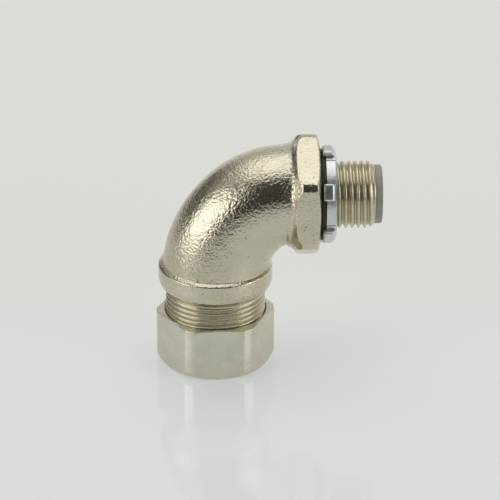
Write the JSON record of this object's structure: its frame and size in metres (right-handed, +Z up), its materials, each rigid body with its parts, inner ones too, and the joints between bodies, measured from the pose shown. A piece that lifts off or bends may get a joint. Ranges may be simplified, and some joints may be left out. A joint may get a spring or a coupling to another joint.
{
  "type": "conduit compression fitting",
  "caption": "Right-angled compression fitting that joins a flexible conduit, held by a hexagonal gland nut, to a box wall by a threaded spigot with gasket and locknut.",
  "frame": {"origin": "centre of the gland nut's foot, where the conduit enters", "axes": "+Z up along the conduit's axis into the elbow; -Z is the way the conduit leaves; +X out along the panel thread"},
  "size_m": [0.0533, 0.0272, 0.0578],
  "materials": {
    "cast_nickel": "nickel plating over a rough casting",
    "machined_nickel": "satin nickel plating",
    "plated_steel": "satin",
    "nylon": "satin",
    "black_rubber": "matte",
    "zinc_plate": "blue-white zinc plating",
    "grey_plastic": "satin"
  },
  "bodies": {
    "elbow": {"elbow_body": "cast_nickel", "insulating_throat": "grey_plastic"},
    "gland_pack": {"ferrule": "plated_steel", "sealing_ring": "nylon"},
    "gland_nut": {"gland_nut": "machined_nickel"},
    "gasket": {"sealing_gasket": "black_rubber"},
    "locknut": {"locknut": "zinc_plate"}
  },
  "joints": [
    {"name": "gland_nut_travel", "type": "slide", "parent": "elbow", "child": "gland_pack", "axis": [0, 0, -1], "range_m": [-0.00125, 0.005]},
    {"name": "gland_nut_turn", "type": "hinge", "parent": "gland_pack", "child": "gland_nut", "pos_m": [0, 0, 0.0066], "axis": [0, 0, -1], "range_deg": [-360, 1440]},
    {"name": "locknut_travel", "type": "slide", "parent": "elbow", "child": "gasket", "axis": [1, 0, 0], "range_m": [0, 0.0075]},
    {"name": "locknut_turn", "type": "hinge", "parent": "gasket", "child": "locknut", "pos_m": [0.0275, 0, 0.0427], "axis": [1, 0, 0], "range_deg": [0, 1800]}
  ],
  "couplings": [
    {"joint": "gland_nut_turn", "follows": "gland_nut_travel", "rad_per_m": 5026.5},
    {"joint": "locknut_turn", "follows": "locknut_travel", "rad_per_m": 4188.8}
  ]
}
